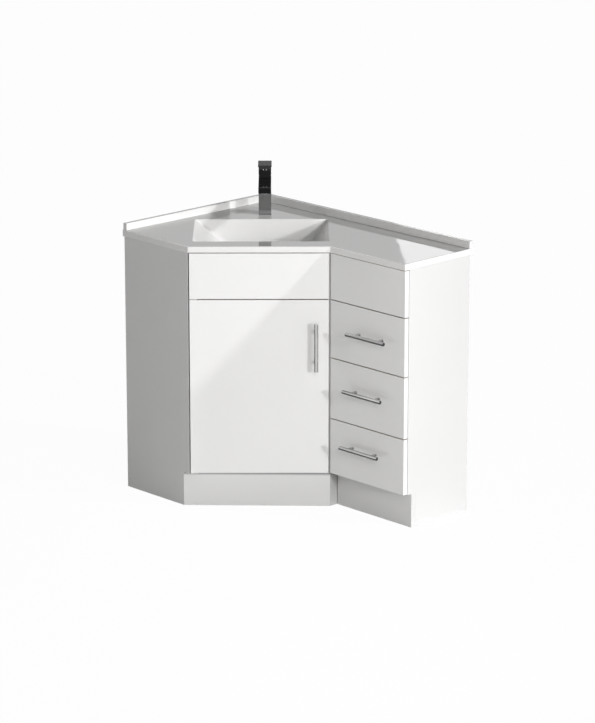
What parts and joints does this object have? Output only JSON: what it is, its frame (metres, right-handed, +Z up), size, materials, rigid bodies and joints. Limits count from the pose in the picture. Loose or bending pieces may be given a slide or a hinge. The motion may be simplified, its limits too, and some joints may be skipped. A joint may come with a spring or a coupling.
{
  "type": "corner vanity unit",
  "caption": "Corner bathroom vanity: two-armed cabinet with a diagonal cupboard door, a side stack of drawers, a moulded top with an angled basin, and a square lever tap.",
  "frame": {"origin": "middle of the bounding box's footprint, at floor level; the corner of the two walls is at x -0.45, y +0.30", "axes": "+Z up; +X along the long wall, away from the corner; +Y towards the long wall, so the drawers face -Y and the short arm runs towards -Y"},
  "size_m": [0.9, 0.6, 0.9811],
  "materials": {
    "moulded_top": "gloss white gelcoat",
    "gloss_front": "gloss white lacquer on board",
    "white_board": "satin white faced board",
    "raw_board": "plain faced thin board",
    "zinc_hardware": "zinc plated",
    "brushed_bar": "brushed satin",
    "dark_chrome": "dark polished plating",
    "bright_chrome": "polished plating",
    "white_pipe": "moulded plastic",
    "black_rubber": "soft rubber"
  },
  "bodies": {
    "cabinet": {"vanity_top": "moulded_top", "short_end_panel": "white_board", "long_end_panel": "white_board", "divider_panel": "white_board", "closing_stile": "white_board", "cupboard_base": "white_board", "drawer_unit_base": "white_board", "short_wall_back": "raw_board", "long_wall_back": "raw_board", "front_rail": "white_board", "drawer_unit_rail": "white_board", "basin_fascia": "gloss_front", "false_drawer_front": "gloss_front", "diagonal_kickboard": "white_board", "kickboard_return": "white_board", "drawer_kickboard": "white_board", "fixed_runners": "zinc_hardware", "hinge_plates": "zinc_hardware", "hinge_screws": "zinc_hardware", "door_bumpers": "black_rubber", "waste_body": "bright_chrome", "waste_seal": "black_rubber", "waste_backnut": "white_pipe", "trap_nuts": "white_pipe", "trap_body": "white_pipe", "trap_cup": "white_pipe", "trap_outlet_pipe": "white_pipe", "tap_body": "dark_chrome", "tap_gasket": "black_rubber", "tap_backnut": "zinc_hardware", "tap_inlet_tails": "bright_chrome", "tap_aerator": "bright_chrome", "tap_cartridge": "brushed_bar", "tap_collar": "dark_chrome"},
    "plug": {"waste_plug": "bright_chrome"},
    "tap_head": {"tap_hub": "dark_chrome", "tap_lever_pin": "brushed_bar"},
    "lever": {"tap_lever": "dark_chrome"},
    "door_leaf": {"door": "gloss_front", "door_bushes": "white_pipe", "door_handle": "brushed_bar", "door_handle_screws": "zinc_hardware"},
    "upper_drawer": {"upper_drawer_front": "gloss_front", "upper_drawer_box": "white_board", "upper_drawer_bottom": "raw_board", "upper_drawer_runners": "zinc_hardware", "upper_drawer_handle": "brushed_bar", "upper_drawer_screws": "zinc_hardware"},
    "middle_drawer": {"middle_drawer_front": "gloss_front", "middle_drawer_box": "white_board", "middle_drawer_bottom": "raw_board", "middle_drawer_runners": "zinc_hardware", "middle_drawer_handle": "brushed_bar", "middle_drawer_screws": "zinc_hardware"},
    "lower_drawer": {"lower_drawer_front": "gloss_front", "lower_drawer_box": "white_board", "lower_drawer_bottom": "raw_board", "lower_drawer_runners": "zinc_hardware", "lower_drawer_handle": "brushed_bar", "lower_drawer_screws": "zinc_hardware"}
  },
  "joints": [
    {"name": "door_hinge", "type": "hinge", "parent": "cabinet", "child": "door_leaf", "pos_m": [-0.15526, -0.28869, 0.38], "axis": [0, 0, -1], "range_deg": [0, 100]},
    {"name": "upper_drawer_slide", "type": "slide", "parent": "cabinet", "child": "upper_drawer", "axis": [0, -1, 0], "range_m": [0, 0.18]},
    {"name": "middle_drawer_slide", "type": "slide", "parent": "cabinet", "child": "middle_drawer", "axis": [0, -1, 0], "range_m": [0, 0.18]},
    {"name": "lower_drawer_slide", "type": "slide", "parent": "cabinet", "child": "lower_drawer", "axis": [0, -1, 0], "range_m": [0, 0.18]},
    {"name": "tap_swivel", "type": "hinge", "parent": "cabinet", "child": "tap_head", "pos_m": [-0.3116, 0.16522, 0.9554], "axis": [0, 0, 1], "range_deg": [-45, 45]},
    {"name": "lever_lift", "type": "hinge", "parent": "tap_head", "child": "lever", "pos_m": [-0.32172, 0.17489, 0.969], "axis": [-0.6905, -0.7234, 0], "range_deg": [0, 20]},
    {"name": "plug_lift", "type": "slide", "parent": "cabinet", "child": "plug", "axis": [0, 0, 1], "range_m": [0, 0.008]}
  ]
}
